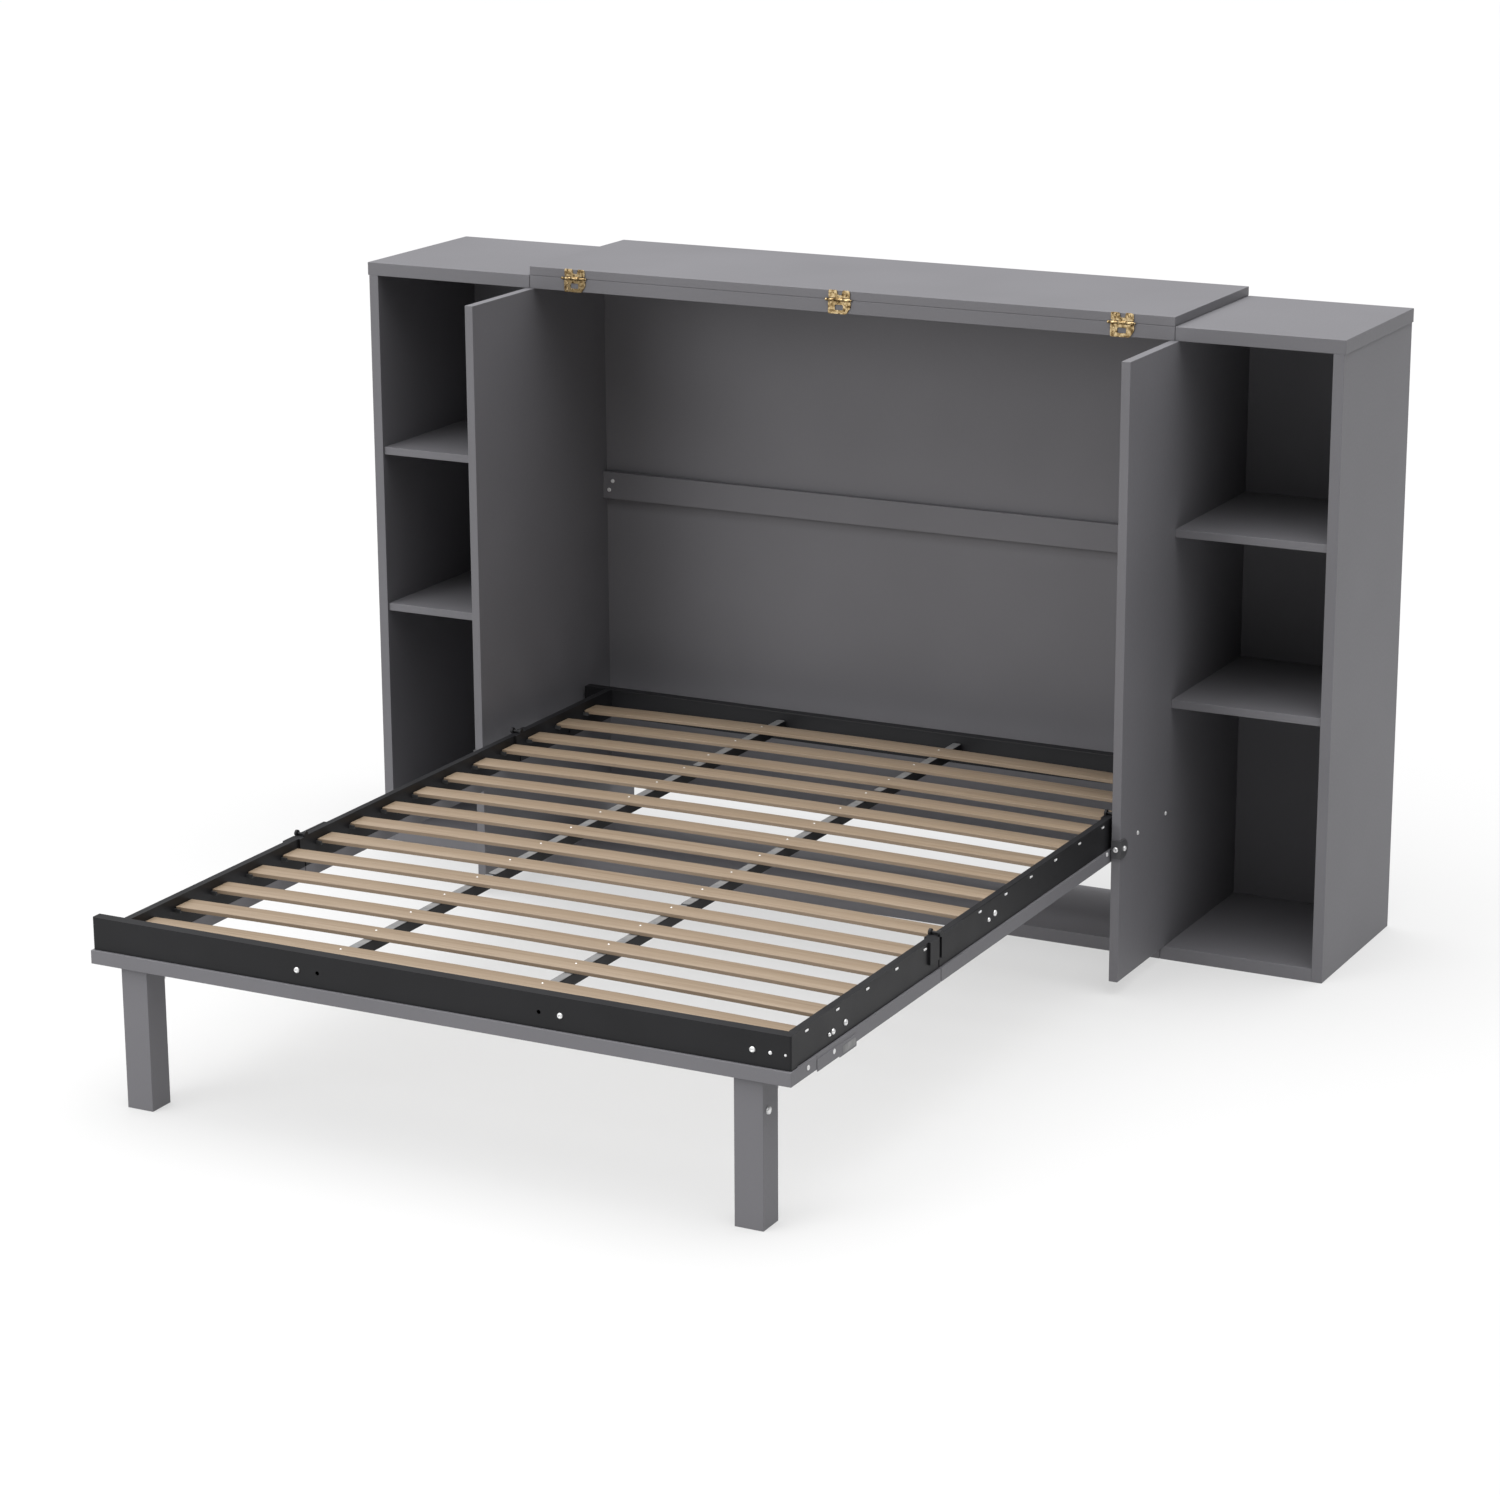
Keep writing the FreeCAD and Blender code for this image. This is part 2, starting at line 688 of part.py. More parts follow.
def foot_rail_bolts():
    """The bolts in the front of the foot rail, and all the holes in its front wall."""
    holes = []
    bolts = []
    for name, x, bolted in (
            ("foot_left_inner", "-foot_bolt_inner", True),
            ("foot_left_spare", "-(foot_bolt_inner - foot_hole_offset)", False),
            ("foot_right_spare", "foot_bolt_inner - foot_hole_offset", False),
            ("foot_right_inner", "foot_bolt_inner", True),
            ("foot_right_outer", "foot_bolt_outer", True)):
        start = (x, f"{FOOT_FACE} - bolt_dome", "foot_bolt_base")
        holes.append(rod(name + "_hole", "y", "bolt_shank + bolt_clearance", start,
                         "bolt_dome + 2 * rail_wall"))
        if bolted:
            head = rod(name + "_head", "y", "bolt_head", start, "bolt_dome")
            shank = rod(name + "_shank", "y", "bolt_shank", (x, FOOT_FACE, start[2]),
                        "rail_width / 2")
            bolts.append(fuse(name, [head, shank]))
    return holes, bolts


def foot_rail(rear, holes):
    """The rail across the foot: a tube with closed ends and rounded front corners."""
    outer = box("foot_end_outer", ("-foot_rail_out", "foot_rail_out"), (FOOT_FACE, rear), RAIL_Z)
    doc.recompute()
    front = outer.Shape.BoundBox.YMin
    rounded = doc.addObject("Part::Fillet", "foot_end_rounded")
    rounded.Base = outer
    radius = SIZES["foot_rail_round"]
    rounded.Edges = [
        (number, radius, radius) for number, edge in enumerate(outer.Shape.Edges, start=1)
        if edge.BoundBox.YMax < front + radius and edge.BoundBox.ZLength > radius
    ]
    bore = box("foot_end_bore", ("-foot_rail_out + rail_wall", "foot_rail_out - rail_wall"),
               (f"{FOOT_FACE} + rail_wall", f"{rear} - rail_wall"),
               (f"{RAIL_BASE} + rail_wall", "rail_top - rail_wall"))
    hollow = cut("foot_end_tube", rounded, bore)
    node("foot_end_rail", cut("foot_end_drilled", hollow, group("foot_end_holes", holes)))


def build_foot_section():
    """The section at the foot, which folds over onto the middle section."""
    ends = (f"{FOOT_FACE} + rail_width", f"{FOLD_TWO} - fold_clear")
    side_rails("foot", ends)
    centre_bars("foot", ends)
    holes, bolts = foot_rail_bolts()
    foot_rail(ends[0], holes)
    node("foot_rail_bolts", group("foot_bolt_group", bolts))
    board_rear = f"{FOOT_FACE} - strip_front + foot_board_depth"
    board("foot_board", ("-foot_board_out", "foot_board_out"),
          (f"{FOOT_FACE} - strip_front", board_rear), STRIP_Z)
    side_strips("foot", (board_rear, ends[1]))
    slats("foot", 5)
    slat_holders("foot", 5)
    node("foot_hinge_lugs", group("foot_lug_group", inner_lugs("foot", FOLD_TWO)
                                  + splice_plates(FOLD_TWO)))


# ---------------------------------------------------------------- legs

LEG_IN = "(leg_outer - leg_size)"
LEG_TOP = f"({STRIP_BASE} - leg_gap)"
LEG_AXIS_Y = f"({LEG_REAR} + leg_hinge_out)"
LEG_AXIS_Z = f"({STRIP_BASE} - leg_hinge_drop)"


def leg_leaf(name, low, knuckles, plate, web):
    """One leaf of a leg's hinge; plate and web are its bands of Y and Z."""
    third = "leg_size / 3"
    solids = [box(name + "_plate", (low, f"{low} + leg_size"), *plate)]
    for index in knuckles:
        start = f"{low} + {index} * {third} + knuckle_play"
        length = f"{third} - 2 * knuckle_play"
        solids.append(rod(f"{name}_knuckle_{index}", "x", "knuckle_radius",
                          (start, LEG_AXIS_Y, LEG_AXIS_Z), length))
        solids.append(box(f"{name}_web_{index}", (start, f"{start} + {length}"), *web))
    bore = rod(name + "_bore", "x", "hinge_pin + hinge_pin_play",
               (f"{low} - leg_size", LEG_AXIS_Y, LEG_AXIS_Z), "3 * leg_size")
    return cut(name, fuse(name + "_blank", solids), bore)


def lock_bolt(name, side):
    """The bolt through the outer face of a leg, and the hole for it."""
    y = f"{LEG_REAR} - lock_bolt_inset"
    z = f"{STRIP_BASE} - lock_bolt_drop"
    low = span(side, "leg_outer - lock_bolt_length", "leg_outer")[0]
    head = span(side, "leg_outer", "leg_outer + bolt_dome")[0]
    hole = rod(name + "_hole", "x", "bolt_shank + bolt_clearance", (low, y, z), "lock_bolt_length")
    bolt = fuse(name, [
        rod(name + "_shank", "x", "bolt_shank", (low, y, z), "lock_bolt_length"),
        rod(name + "_head", "x", "bolt_head", (head, y, z), "bolt_dome"),
    ])
    return hole, bolt


def build_legs():
    """Square legs under the foot board, each with a butt hinge behind its top."""
    fixed = []
    under_board = (f"{STRIP_BASE} - leaf_plate", STRIP_BASE)
    behind_leg = (LEG_REAR, f"{LEG_REAR} + leaf_plate")
    for word, side in SIDES:
        low, high = span(side, LEG_IN, "leg_outer")
        hole, bolt = lock_bolt(f"{word}_leg_bolt", side)
        board(f"{word}_leg", (low, high), (f"{LEG_REAR} - leg_size", LEG_REAR), ("0", LEG_TOP), [hole])
        relief = f"{LEG_AXIS_Y} + leaf_relief"
        fixed.append(leg_leaf(f"{word}_leg_fixed", low, (0, 2),
                              ((relief, f"{relief} + leg_leaf"), under_board),
                              ((LEG_AXIS_Y, relief), under_board)))
        fixed.append(rod(f"{word}_leg_pin", "x", "hinge_pin", (low, LEG_AXIS_Y, LEG_AXIS_Z),
                         "leg_size"))
        drop = f"{LEG_AXIS_Z} - leaf_relief"
        moving = leg_leaf(f"{word}_leg_moving", low, (1,),
                          (behind_leg, (f"{drop} - lower_leaf", drop)), (behind_leg, (drop, LEG_AXIS_Z)))
        node(f"{word}_leg_fittings", group(f"{word}_leg_fitting_group", [moving, bolt]))
    node("leg_hinge_fixed_leaves", group("leg_leaf_group", fixed))


# ---------------------------------------------------------------- build, check and write

build_towers()
build_bay()
build_lid()
build_head_section()
build_panel_clips()
build_mid_section()
build_foot_section()
build_legs()
doc.recompute()

for item in doc.Objects:
    if "Invalid" in item.State or "Error" in item.State:
        sys.exit(f"{item.Label} failed: {item.State}")

for item in nodes:
    if item.Shape.isNull() or not item.Shape.isValid():
        sys.exit(f"{item.Label} has no valid shape")

os.makedirs("parts", exist_ok=True)
for item in nodes:
    item.Shape.exportStep(f"parts/{item.Label}.step")
    print(f"{item.Label}: {len(item.Shape.Solids)} solids, {item.Shape.Volume:.0f} cubic mm")
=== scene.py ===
import json
import math

import bmesh
import bpy
from mathutils import Matrix, Vector


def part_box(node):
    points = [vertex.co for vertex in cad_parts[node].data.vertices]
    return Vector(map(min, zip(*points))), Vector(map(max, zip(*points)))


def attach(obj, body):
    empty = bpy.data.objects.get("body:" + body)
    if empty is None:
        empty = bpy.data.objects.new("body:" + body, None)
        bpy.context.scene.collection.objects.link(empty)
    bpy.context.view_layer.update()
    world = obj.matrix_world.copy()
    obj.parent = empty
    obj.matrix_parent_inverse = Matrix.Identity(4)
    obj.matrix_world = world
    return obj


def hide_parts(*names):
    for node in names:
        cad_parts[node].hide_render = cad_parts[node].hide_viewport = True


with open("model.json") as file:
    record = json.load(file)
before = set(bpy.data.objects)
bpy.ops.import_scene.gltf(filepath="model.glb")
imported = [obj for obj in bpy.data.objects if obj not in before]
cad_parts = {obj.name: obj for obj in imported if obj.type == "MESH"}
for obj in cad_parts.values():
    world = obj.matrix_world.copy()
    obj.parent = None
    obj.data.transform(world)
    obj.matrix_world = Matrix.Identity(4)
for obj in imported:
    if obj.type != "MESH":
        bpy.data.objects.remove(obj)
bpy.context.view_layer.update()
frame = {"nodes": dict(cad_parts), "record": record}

MM = 0.001
NODES = frame["nodes"]
SLOT_OF = {part["node"]: part["material_slot"] for part in frame["record"]["subparts"]}
SIDES = (("left", -1), ("right", 1))


# ---------------------------------------------------------------- node helpers

class Graph:
    """A small wrapper that adds and joins shader nodes."""

    def __init__(self, name):
        self.material = bpy.data.materials.new(name)
        self.material.use_nodes = True
        self.tree = self.material.node_tree
        self.shader = self.tree.nodes["Principled BSDF"]
        coords = self.tree.nodes.new("ShaderNodeTexCoord")
        self.coords = coords.outputs["Object"]

    def add(self, kind, inputs=None, **settings):
        item = self.tree.nodes.new("ShaderNode" + kind)
        for key, value in settings.items():
            setattr(item, key, value)
        for key, value in (inputs or {}).items():
            if isinstance(value, bpy.types.NodeSocket):
                self.tree.links.new(value, item.inputs[key])
            else:
                item.inputs[key].default_value = value
        return item

    def math(self, operation, *values):
        return self.add("Math", dict(enumerate(values)), operation=operation).outputs[0]

    def scaled(self, scale, offset=(0, 0, 0)):
        mapping = self.add("Mapping", {"Vector": self.coords, "Scale": scale, "Location": offset})
        return mapping.outputs["Vector"]

    def noise(self, vector, scale, detail=3.0, rough=0.5, distortion=0.0):
        item = self.add("TexNoise", {"Vector": vector, "Scale": scale, "Detail": detail,
                                     "Roughness": rough, "Distortion": distortion})
        return item.outputs["Fac"]

    def spread(self, value, low, high, out_low, out_high):
        item = self.add("MapRange", {"Value": value, "From Min": low, "From Max": high,
                                     "To Min": out_low, "To Max": out_high})
        return item.outputs["Result"]

    def ramp(self, value, stops):
        item = self.add("ValToRGB", {"Fac": value})
        elements = item.color_ramp.elements
        while len(elements) < len(stops):
            elements.new(0.5)
        for element, (position, color) in zip(elements, stops):
            element.position = position
            element.color = (*color, 1)
        return item.outputs["Color"]

    def mix(self, factor, first, second, blend="MIX"):
        item = self.add("Mix", data_type="RGBA", blend_type=blend)
        for index, value in ((0, factor), (6, first), (7, second)):
            if isinstance(value, bpy.types.NodeSocket):
                self.tree.links.new(value, item.inputs[index])
            else:
                item.inputs[index].default_value = value if index == 0 else (*value, 1)
        return item.outputs[2]

    def bump(self, height, distance, strength=1.0, normal=None):
        inputs = {"Height": height, "Distance": distance, "Strength": strength}
        if normal is not None:
            inputs["Normal"] = normal
        return self.add("Bump", inputs).outputs["Normal"]

    def finish(self, color=None, roughness=None, normal=None, **plain):
        for key, value in (("Base Color", color), ("Roughness", roughness), ("Normal", normal)):
            if isinstance(value, bpy.types.NodeSocket):
                self.tree.links.new(value, self.shader.inputs[key])
            elif value is not None:
                self.shader.inputs[key].default_value = value
        for key, value in plain.items():
            self.shader.inputs[key.replace("_", " ")].default_value = value
        return self.material


def shade(color, factor):
    return tuple(channel * factor for channel in color)


# ---------------------------------------------------------------- materials

def grey_board():
    g = Graph("grey_board")
    base = (0.1325, 0.1305, 0.1405)
    cloud = g.noise(g.coords, 3.0, 2.0)
    fibre = g.noise(g.scaled((60, 60, 14)), 9.0, 4.0, 0.6)
    fine = g.noise(g.coords, 900.0, 2.0)
    tone = g.ramp(cloud, ((0.3, shade(base, 0.955)), (0.7, shade(base, 1.045))))
    color = g.mix(g.spread(fibre, 0.35, 0.65, 0.0, 0.10), tone, shade(base, 0.86))
    rough = g.spread(fibre, 0.3, 0.7, 0.50, 0.58)
    skin = g.bump(fine, 0.00006, 0.5, g.bump(fibre, 0.00010, 0.35))
    return g.finish(color, rough, skin, Specular_IOR_Level=0.35)


def black_steel():
    g = Graph("black_steel")
    base = (0.0100, 0.0100, 0.0112)
    cloud = g.noise(g.coords, 6.0, 3.0)
    peel = g.noise(g.coords, 1300.0, 2.0)
    color = g.ramp(cloud, ((0.3, shade(base, 0.85)), (0.7, shade(base, 1.2))))
    rough = g.spread(cloud, 0.3, 0.7, 0.42, 0.54)
    return g.finish(color, rough, g.bump(peel, 0.00008, 0.5), Specular_IOR_Level=0.22)


def grey_steel():
    g = Graph("grey_steel")
    base = (0.062, 0.062, 0.065)
    peel = g.noise(g.coords, 1300.0, 2.0)
    color = g.ramp(g.noise(g.coords, 20.0), ((0.3, shade(base, 0.92)), (0.7, shade(base, 1.08))))
    return g.finish(color, 0.45, g.bump(peel, 0.00008, 0.5))


def slat_wood():
    """Bent laminated slats: long grain on top, and ply lines that follow the bow on the edges."""
    g = Graph("slat_wood")
    light = (0.240, 0.184, 0.130)
    middle = (0.208, 0.156, 0.106)
    dark = (0.172, 0.122, 0.079)
    pore_brown = (0.125, 0.085, 0.052)
    board_brown = (0.188, 0.136, 0.090)
    ply_brown = (0.20, 0.14, 0.095)
    ply_thick = 1.4 * MM
    row_shift = 0.37
    place = g.add("SeparateXYZ", {"Vector": g.coords})
    x, y, z = place.outputs
    row = g.math("FLOOR", g.math("MULTIPLY", y, 8.0))
    along = g.math("ADD", x, g.math("MULTIPLY", row, row_shift))
    shifted = g.add("CombineXYZ", {"X": along, "Y": y, "Z": z})
    grain_place = g.add("Mapping", {"Vector": shifted.outputs[0], "Scale": (1.6, 70.0, 70.0)})
    grain = g.noise(grain_place.outputs[0], 2.2, 6.0, 0.62, 0.4)
    pore_place = g.add("Mapping", {"Vector": shifted.outputs[0], "Scale": (9.0, 420.0, 420.0)})
    pore = g.noise(pore_place.outputs[0], 2.0, 3.0, 0.6)
    board_tone = g.noise(g.scaled((0.6, 7.0, 0.0)), 1.0, 1.0)
    color = g.ramp(grain, ((0.30, dark), (0.45, middle), (0.68, light)))
    color = g.mix(g.spread(pore, 0.55, 0.75, 0.0, 0.35), color, pore_brown)
    color = g.mix(g.spread(board_tone, 0.3, 0.7, 0.0, 0.28), color, board_brown)
    across = g.math("SUBTRACT", x, SLAT_MIDDLE)
    bow = g.math("MULTIPLY", g.math("MULTIPLY", across, across), SLAT_BOW)
    height = g.math("MULTIPLY", g.math("ADD", z, bow), 1 / ply_thick)
    wave = g.math("SINE", g.math("MULTIPLY", height, 2 * math.pi))
    normal = g.add("NewGeometry").outputs["Normal"]
    facing = g.math("ABSOLUTE", g.add("SeparateXYZ", {"Vector": normal}).outputs[2])
    side = g.math("LESS_THAN", facing, 0.5)
    ply = g.math("MULTIPLY", g.spread(wave, -0.4, 0.7, 0.0, 0.55), side)
    color = g.mix(ply, color, ply_brown)
    rough = g.spread(grain, 0.3, 0.7, 0.50, 0.40)
    relief = g.bump(pore, 0.00012, 0.4, g.bump(grain, 0.00020, 0.4))
    return g.finish(color, rough, relief, Specular_IOR_Level=0.4)


def brass():
    g = Graph("brass")
    tarnish = (0.060, 0.035, 0.014)
    dull = (0.30, 0.21, 0.10)
    bright = (0.58, 0.45, 0.26)
    cloud = g.noise(g.coords, 160.0, 4.0)
    color = g.ramp(cloud, ((0.34, tarnish), (0.48, dull), (0.66, bright)))
    rough = g.spread(cloud, 0.3, 0.7, 0.36, 0.20)
    return g.finish(color, rough, g.bump(g.noise(g.coords, 1500.0), 0.00005, 0.4), Metallic=1.0)


def zinc_steel():
    g = Graph("zinc_steel")
    cloud = g.noise(g.coords, 220.0, 4.0)
    color = g.ramp(cloud, ((0.3, (0.66, 0.66, 0.67)), (0.7, (0.84, 0.84, 0.83))))
    rough = g.spread(cloud, 0.3, 0.7, 0.42, 0.30)
    return g.finish(color, rough, g.bump(g.noise(g.coords, 1500.0), 0.00005, 0.4), Metallic=0.6)


def strap_steel():
    g = Graph("strap_steel")
    cloud = g.noise(g.coords, 60.0, 4.0)
    color = g.ramp(cloud, ((0.3, (0.165, 0.165, 0.168)), (0.7, (0.235, 0.235, 0.235))))
    return g.finish(color, g.spread(cloud, 0.3, 0.7, 0.50, 0.38),
                    g.bump(g.noise(g.scaled((900, 30, 900)), 1.0), 0.00004, 0.5), Metallic=0.4)


def black_plastic():
    g = Graph("black_plastic")
    peel = g.noise(g.coords, 2200.0, 2.0)
    cloud = g.noise(g.coords, 40.0, 2.0)
    color = g.ramp(cloud, ((0.3, (0.020, 0.020, 0.021)), (0.7, (0.032, 0.032, 0.033))))
    return g.finish(color, 0.6, g.bump(peel, 0.00008, 0.6))


low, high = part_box("mid_slats")
SLAT_THICK = 8 * MM
SLAT_MIDDLE = (low.x + high.x) / 2
SLAT_HALF = (high.x - low.x) / 2
SLAT_BOW = (high.z - low.z - SLAT_THICK) / SLAT_HALF ** 2
MAKERS = (grey_board, black_steel, grey_steel, slat_wood, brass, zinc_steel, strap_steel, black_plastic)
MATERIALS = {make.__name__: make() for make in MAKERS}

for name, item in NODES.items():
    item.data.materials.clear()
    item.data.materials.append(MATERIALS[SLOT_OF[name]])


PLAIN_STEEL = ("mid_left_rail", "mid_right_rail", "foot_left_rail", "foot_right_rail", "head_end_rail",
               "head_centre_bars", "mid_centre_bars", "foot_centre_bars")


def soften(name, width, segments=2, angle=40):
    """Give a CAD node's sharp edges a small worn radius."""
    item = NODES[name]
    weld = item.modifiers.new("weld", "WELD")
    weld.merge_threshold = 0.00002
    bevel = item.modifiers.new("bevel", "BEVEL")
    bevel.width = width
    bevel.segments = segments
    bevel.limit_method = "ANGLE"
    bevel.angle_limit = math.radians(angle)
    bevel.use_clamp_overlap = True


for name, slot in SLOT_OF.items():
    if name in PLAIN_STEEL:
        soften(name, 1.6 * MM)
    elif slot == "slat_wood":
        soften(name, 1.2 * MM)

# ---------------------------------------------------------------- mesh helpers

def solids(name):
    """The box of each separate solid of a CAD node, from left to right."""
    work = bmesh.new()
    work.from_mesh(NODES[name].data)
    bmesh.ops.remove_doubles(work, verts=work.verts, dist=1e-6)
    waiting = set(work.verts)
    boxes = []
    while waiting:
        start = waiting.pop()
        queue = [start]
        found = [start.co.copy()]
        while queue:
            for edge in queue.pop().link_edges:
                for vert in edge.verts:
                    if vert in waiting:
                        waiting.remove(vert)
                        queue.append(vert)
                        found.append(vert.co.copy())
        axes = list(zip(*found))
        boxes.append((Vector([min(axis) for axis in axes]), Vector([max(axis) for axis in axes])))
    work.free()
    return sorted(boxes, key=lambda box: tuple(round(value, 5) for value in box[0]))


def eased(points, radius, steps=4):
    """A closed outline with each corner turned into a small curve."""
    outline = []
    corners = [Vector(point) for point in points]
    for before, corner, after in zip(corners[-1:] + corners[:-1], corners, corners[1:] + corners[:1]):
        first = corner + (before - corner).normalized() * radius
        last = corner + (after - corner).normalized() * radius
        for step in range(steps + 1):
            t = step / steps
            outline.append(first * (1 - t) ** 2 + corner * 2 * t * (1 - t) + last * t ** 2)
    return outline


def panel(x0, y0, x1, y1, radius):
    return eased(((x0, y0), (x1, y0), (x1, y1), (x0, y1)), radius)


def facing(where, direction):
    """The matrix that puts local +Z along a direction, with local +Y up where it can be."""
    z = Vector(direction)
    up = Vector((0, 0, 1)) if abs(z.z) < 0.5 else Vector((0, 1, 0))
    x = up.cross(z)
    turn = Matrix((x, z.cross(x), z)).transposed().to_4x4()
    return Matrix.Translation(where) @ turn @ Matrix.Scale(MM, 4)


class Piece:
    """One mesh of turned parts and plates, drawn in millimetres at places given in metres."""

    def __init__(self, name, body, slot, material=None):
        self.name = name
        self.body = body
        self.slot = slot
        self.material = MATERIALS[material or slot]
        self.mesh = bmesh.new()

    def add(self, part, where, direction):
        bmesh.ops.recalc_face_normals(part, faces=part.faces)
        part.transform(facing(where, direction))
        data = bpy.data.meshes.new("part")
        part.to_mesh(data)
        part.free()
        self.mesh.from_mesh(data)
        bpy.data.meshes.remove(data)

    def turned(self, profile, where, direction, steps=28):
        """A solid of revolution from (radius, height) pairs that start and end on the axis."""
        part = bmesh.new()
        rings = []
        for radius, height in profile:
            if radius == 0:
                rings.append([part.verts.new((0, 0, height))] * steps)
                continue
            rings.append([part.verts.new((radius * math.cos(2 * math.pi * i / steps),
                                          radius * math.sin(2 * math.pi * i / steps), height))
                          for i in range(steps)])
        for upper, under in zip(rings, rings[1:]):
            for i in range(steps):
                j = (i + 1) % steps
                corners = []
                for vert in (upper[i], upper[j], under[j], under[i]):
                    if vert not in corners:
                        corners.append(vert)
                part.faces.new(corners).smooth = True
        self.add(part, where, direction)

    def plate(self, outlines, thickness, where, direction, edge=0.3):
        """A flat plate with eased edges; the first outline is its rim and the rest are holes."""
        curve = bpy.data.curves.new("plate", "CURVE")
        curve.dimensions = "2D"
        curve.fill_mode = "BOTH"
        curve.extrude = thickness / 2 - edge
        curve.bevel_depth = edge
        curve.bevel_resolution = 1
        curve.offset = -edge
        for points in outlines:
            spline = curve.splines.new("POLY")
            spline.points.add(len(points) - 1)
            spline.use_cyclic_u = True
            for target, point in zip(spline.points, points):
                target.co = (point[0], point[1], 0, 1)
        holder = bpy.data.objects.new("plate", curve)
        data = bpy.data.meshes.new_from_object(holder)
        bpy.data.objects.remove(holder)
        bpy.data.curves.remove(curve)
        part = bmesh.new()
        part.from_mesh(data)
        bpy.data.meshes.remove(data)
        bmesh.ops.remove_doubles(part, verts=part.verts, dist=1e-4)
        bmesh.ops.translate(part, verts=part.verts, vec=(0, 0, thickness / 2))
        self.add(part, where, direction)

    def bolt(self, where, direction, radius, dome, shank=0.0, socket=True):
        """A domed head on a face, with a socket in it and a shank behind it."""
        profile = [(0, dome)]
        if socket:
            floor_height = dome * 0.4
            profile = [(0, floor_height), (radius * 0.36, floor_height), (radius * 0.40, dome * 0.94),
                       (radius * 0.48, dome)]
        profile += [(radius * 0.62, dome * 0.97), (radius * 0.84, dome * 0.76), (radius * 0.96, dome * 0.42),
                    (radius, dome * 0.1), (radius * 0.98, 0)]
        if shank:
            shank_radius = radius * 0.57
            profile += [(shank_radius, 0), (shank_radius, -shank), (0, -shank)]
        else:
            profile += [(0, 0)]
        self.turned(profile, where, direction)

    def finish(self, *replaced):
        data = bpy.data.meshes.new(self.name)
        self.mesh.to_mesh(data)
        self.mesh.free()
        data.materials.append(self.material)
        item = bpy.data.objects.new(self.name, data)
        bpy.context.scene.collection.objects.link(item)
        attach(item, self.body)
        if replaced:
            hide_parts(*replaced)
        return item


FRONT = (0, -1, 0)
UP = (0, 0, 1)

# ---------------------------------------------------------------- bolts and screws

def front_bolts(name, node, body, dome, shrink=1.0):
    """Domed heads in place of a node whose heads face the foot of the bed."""
    piece = Piece(name, body, "zinc_steel")
    for low, high in solids(node):
        middle = (low + high) / 2
        radius = (high.x - low.x) / 2 / MM * shrink
        where = (middle.x, low.y + dome * MM, middle.z)
        piece.bolt(where, FRONT, radius, dome, (high.y - low.y) / MM - dome)
    piece.finish(node)


def clip_bolts():
    """The two bolts of each panel clip."""
    piece = Piece("clip_bolts", "cabinet", "zinc_steel")
    radius, dome = 6, 3.6
    for low, high in solids("panel_clip_bolts"):
        middle = (low + high) / 2
        if high.y - low.y < high.x - low.x:
            piece.bolt((middle.x, high.y, middle.z), FRONT, radius, dome)
        else:
            side = 1 if middle.x > 0 else -1
            base = low.x if side > 0 else high.x
            piece.bolt((base, middle.y, middle.z), (side, 0, 0), radius, dome)
    piece.finish("panel_clip_bolts")


def section_studs():
    """Studs through the bay panels, with small domed nuts outside and a collar against each rail."""
    piece = Piece("section_studs", "cabinet", "zinc_steel")
    dome, nut, shank, collar = 4, 4.9, 4, 9
    for low, high in solids("head_section_studs"):
        side = 1 if low.x > 0 else -1
        word = "right" if side > 0 else "left"
        panel_low, panel_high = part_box(f"{word}_bay_panel")
        rail_low, rail_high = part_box(f"head_{word}_rail")
        outside = max(abs(panel_low.x), abs(panel_high.x))
        inside = min(abs(panel_low.x), abs(panel_high.x))
        rail = max(abs(rail_low.x), abs(rail_high.x))
        thick = (outside - inside) / MM
        reach = (outside - rail) / MM
        end = (high.x - low.x) / MM - dome
        profile = ((0, dome * 0.8), (nut * 0.5, dome * 0.76), (nut * 0.86, dome * 0.5), (nut, 0.8), (nut, 0),
                   (shank, 0), (shank, -thick), (collar - 0.5, -thick), (collar, -thick - 0.5),
                   (collar, 0.5 - reach), (collar - 0.5, -reach), (shank, -reach), (shank, -end), (0, -end))
        where = (side * outside, (low.y + high.y) / 2, (low.z + high.z) / 2)
        piece.turned(profile, where, (side, 0, 0))
    piece.finish("head_section_studs")


def leg_caps():
    """Rounded caps over the legs' lock bolts."""
    longest_bolt = 40 * MM
    dome = 4 * MM
    for word, side in SIDES:
        piece = Piece(f"{word}_leg_bolt_cap", f"{word}_leg_unit", "zinc_steel")
        for low, high in solids(f"{word}_leg_fittings"):
            if high.x - low.x < longest_bolt:
                middle = (low + high) / 2
                face = side * (max(abs(low.x), abs(high.x)) - dome)
                piece.bolt((face, middle.y, middle.z), (side, 0, 0), 7.8, 5, socket=False)
        piece.finish()


# ---------------------------------------------------------------- brass hinges

def knuckle(piece, where, length, radius):
    edge = 0.4
    profile = ((0, length), (radius - edge, length), (radius, length - edge), (radius, edge),
               (radius - edge, 0), (0, 0))
    piece.turned(profile, where, (1, 0, 0), 24)


def screw(piece, where, x, z, radius=3.0):
    """A low screw head on a leaf, with a dimple for its recess."""
    head = 0.9
    profile = ((0, 0.2), (radius * 0.3, 0.3), (radius * 0.4, head), (radius * 0.9, head), (radius, 0.5),
               (radius, 0), (0, 0))
    piece.turned(profile, where + Vector((x, 0, z)) * MM, FRONT, 20)


